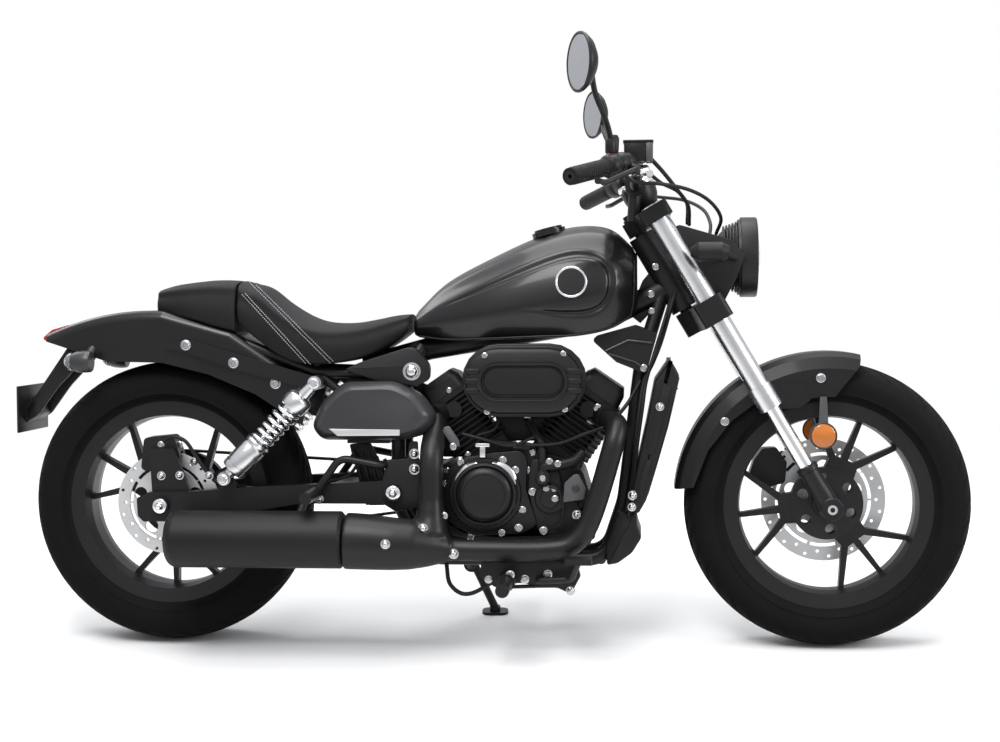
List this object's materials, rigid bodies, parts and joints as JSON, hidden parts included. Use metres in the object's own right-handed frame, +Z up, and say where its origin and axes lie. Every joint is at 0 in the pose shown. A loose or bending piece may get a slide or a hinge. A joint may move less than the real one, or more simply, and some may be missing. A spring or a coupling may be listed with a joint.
{
  "type": "cruiser motorcycle",
  "caption": "Low cruiser motorcycle with a finned V engine, cast wheels, teardrop tank and stepped seat, leaning on its side stand; wheels roll, fork steers and the stand folds.",
  "frame": {"origin": "centre of the footprint box, on the floor", "axes": "+X forward, +Y to the rider's left, +Z up; the bike leans about 8 degrees to +Y"},
  "size_m": [2.061, 0.9976, 1.2734],
  "materials": {
    "amber_lens": "gloss",
    "black_plastic": "matt",
    "chrome": "polished",
    "clear_lens": "clear",
    "disc_steel": "brushed",
    "gloss_black": "gloss",
    "grip_rubber": "matt",
    "matt_black": "matt",
    "red_lens": "gloss",
    "satin_black": "satin",
    "seat_black": "satin",
    "silver": "satin",
    "tyre_rubber": "matt"
  },
  "bodies": {
    "chassis": {"frame_main": "satin_black", "frame_rear": "satin_black", "swingarm": "satin_black", "swingarm_pivot": "chrome", "rear_axle": "chrome", "drive_belt": "grip_rubber", "shocks": "chrome", "crankcase": "matt_black", "right_cover": "satin_black", "left_cover": "satin_black", "cylinders": "matt_black", "cylinder_heads": "matt_black", "rocker_covers": "satin_black", "exhaust_pipes": "matt_black", "muffler": "matt_black", "air_cleaner": "black_plastic", "carburettor": "silver", "fuel_tank": "gloss_black", "filler_cap": "chrome", "rider_seat": "seat_black", "pillion_seat": "seat_black", "rear_fender": "gloss_black", "fender_struts": "gloss_black", "tail_lamp": "red_lens", "plate_bracket": "black_plastic", "rear_indicators": "black_plastic", "side_covers": "satin_black", "neck_covers": "satin_black", "radiator": "black_plastic", "rear_caliper": "silver", "footpegs": "satin_black", "foot_controls": "satin_black"},
    "steering": {"lower_clamp": "satin_black", "upper_clamp": "satin_black", "front_axle": "chrome", "fork_sliders": "chrome", "fork_tubes": "silver", "handlebar": "satin_black", "grips": "grip_rubber", "brake_control": "silver", "clutch_control": "silver", "mirrors": "chrome", "instrument": "black_plastic", "headlight_shell": "gloss_black", "headlight_lens": "clear_lens", "headlight_ears": "satin_black", "front_indicators": "black_plastic", "front_fender": "gloss_black", "reflectors": "amber_lens", "front_caliper": "silver"},
    "front_wheel": {"front_tyre": "tyre_rubber", "front_rim": "satin_black", "front_disc": "disc_steel"},
    "rear_wheel": {"rear_tyre": "tyre_rubber", "rear_rim": "satin_black", "rear_disc": "disc_steel", "rear_pulley": "satin_black"},
    "side_stand": {"side_stand": "satin_black"}
  },
  "joints": [
    {"name": "steering_turn", "type": "hinge", "parent": "chassis", "child": "steering", "pos_m": [0.3882, -0.05245, 0.78612], "axis": [-0.5075, 0.1199, 0.8532], "range_deg": [-34, 34]},
    {"name": "front_wheel_spin", "type": "hinge", "parent": "steering", "child": "front_wheel", "pos_m": [0.7315, -0.12122, 0.29679], "axis": [0, 0.9903, -0.1392], "continuous": true},
    {"name": "rear_wheel_spin", "type": "hinge", "parent": "chassis", "child": "rear_wheel", "pos_m": [-0.6685, -0.12094, 0.29877], "axis": [0, 0.9903, -0.1392], "continuous": true},
    {"name": "side_stand_fold", "type": "hinge", "parent": "chassis", "child": "side_stand", "pos_m": [-0.0325, -0.02087, 0.13424], "axis": [0, 0.9613, 0.2756], "range_deg": [0, 104]}
  ]
}
